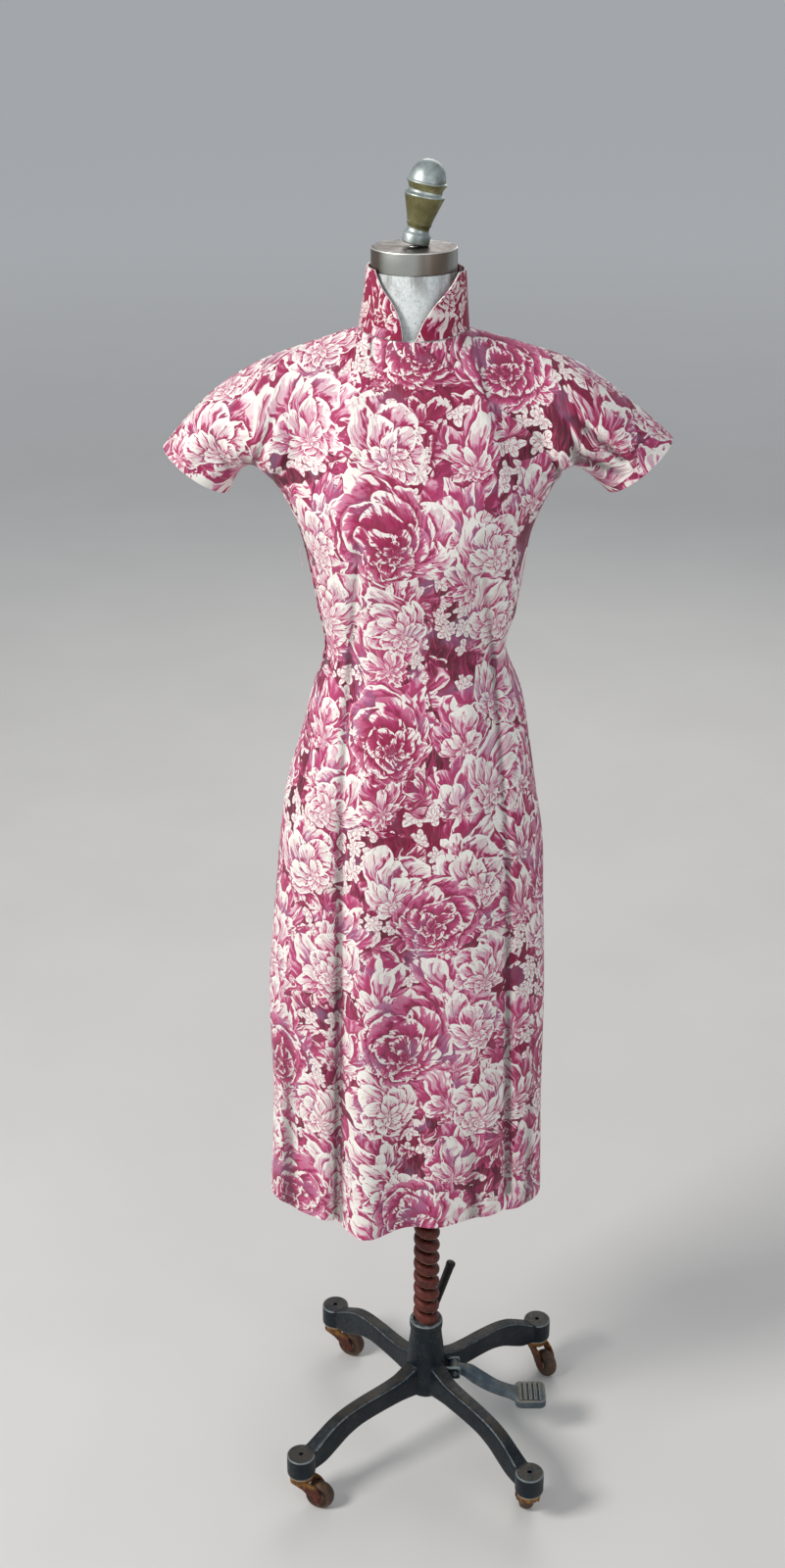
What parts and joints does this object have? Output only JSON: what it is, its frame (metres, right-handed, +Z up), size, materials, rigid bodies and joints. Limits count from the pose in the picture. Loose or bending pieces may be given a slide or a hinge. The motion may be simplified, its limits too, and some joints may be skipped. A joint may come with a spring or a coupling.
{
  "type": "cheongsam dress on a dress form stand",
  "caption": "Fitted knee-length cheongsam with cap sleeves and a stand collar, worn on a limbless dress form on a caster stand with a foot pedal.",
  "frame": {"origin": "floor level, at the middle of the object's plan", "axes": "+Z up, the dress faces -Y, its own right side is at -X"},
  "size_m": [0.527, 0.3512, 1.596],
  "materials": {
    "printed_cotton": "printed floral cotton, slight sheen",
    "grey_linen": "speckled linen over a stiff shell",
    "brushed_steel": "brushed",
    "silver_paint": "worn silver paint",
    "steel_rod": "dull, stained",
    "rusty_steel": "rusted",
    "blackened_iron": "old black-green paint, worn edges",
    "dark_wheel": "dark composition"
  },
  "bodies": {
    "stand": {"stand_casting": "blackened_iron", "stand_spring": "rusty_steel"},
    "form": {"form_body": "grey_linen", "form_cap": "brushed_steel", "form_finial": "silver_paint", "stand_rod": "steel_rod", "dress_front": "printed_cotton", "dress_front_inset": "printed_cotton", "dress_back": "printed_cotton", "dress_collar": "printed_cotton", "dress_side_placket": "printed_cotton"},
    "pedal": {"stand_pedal": "blackened_iron"},
    "lock": {"stand_lock_bar": "blackened_iron"},
    "caster_front_left": {"caster_fork_front_left": "rusty_steel"},
    "wheel_front_left": {"caster_wheel_front_left": "dark_wheel"},
    "caster_front_right": {"caster_fork_front_right": "rusty_steel"},
    "wheel_front_right": {"caster_wheel_front_right": "dark_wheel"},
    "caster_back_right": {"caster_fork_back_right": "rusty_steel"},
    "wheel_back_right": {"caster_wheel_back_right": "dark_wheel"},
    "caster_back_left": {"caster_fork_back_left": "rusty_steel"},
    "wheel_back_left": {"caster_wheel_back_left": "dark_wheel"}
  },
  "joints": [
    {"name": "form_lift", "type": "slide", "parent": "stand", "child": "form", "axis": [0, 0, 1], "range_m": [-0.06, 0.05], "deforming": ["stand_spring"]},
    {"name": "pedal_press", "type": "hinge", "parent": "stand", "child": "pedal", "pos_m": [0.053, 0, 0.102], "axis": [0, 1, 0], "range_deg": [0, 12], "stiffness_Nm_per_rad": 8, "springref_deg": -11.46},
    {"name": "lock_turn", "type": "hinge", "parent": "stand", "child": "lock", "pos_m": [0.0225, 0.032, 0.16], "axis": [0, 1, 0], "range_deg": [-40, 45]},
    {"name": "swivel_front_left", "type": "hinge", "parent": "stand", "child": "caster_front_left", "pos_m": [-0.13943, -0.12586, 0.047], "axis": [0, 0, 1], "continuous": true},
    {"name": "roll_front_left", "type": "hinge", "parent": "caster_front_left", "child": "wheel_front_left", "pos_m": [-0.1166, -0.13328, 0.018], "axis": [0.309, 0.9511, 0], "continuous": true},
    {"name": "swivel_front_right", "type": "hinge", "parent": "stand", "child": "caster_front_right", "pos_m": [0.1405, -0.15652, 0.047], "axis": [0, 0, 1], "continuous": true},
    {"name": "roll_front_right", "type": "hinge", "parent": "caster_front_right", "child": "wheel_front_right", "pos_m": [0.13841, -0.13261, 0.018], "axis": [-0.9962, -0.0872, 0], "continuous": true},
    {"name": "swivel_back_right", "type": "hinge", "parent": "stand", "child": "caster_back_right", "pos_m": [0.16808, 0.12989, 0.047], "axis": [0, 0, 1], "continuous": true},
    {"name": "roll_back_right", "type": "hinge", "parent": "caster_back_right", "child": "wheel_back_right", "pos_m": [0.18008, 0.1091, 0.018], "axis": [0.866, 0.5, 0], "continuous": true},
    {"name": "swivel_back_left", "type": "hinge", "parent": "stand", "child": "caster_back_left", "pos_m": [-0.10436, 0.15973, 0.047], "axis": [0, 0, 1], "continuous": true},
    {"name": "roll_back_left", "type": "hinge", "parent": "caster_back_left", "child": "wheel_back_left", "pos_m": [-0.08279, 0.14921, 0.018], "axis": [0.4384, 0.8988, 0], "continuous": true}
  ]
}
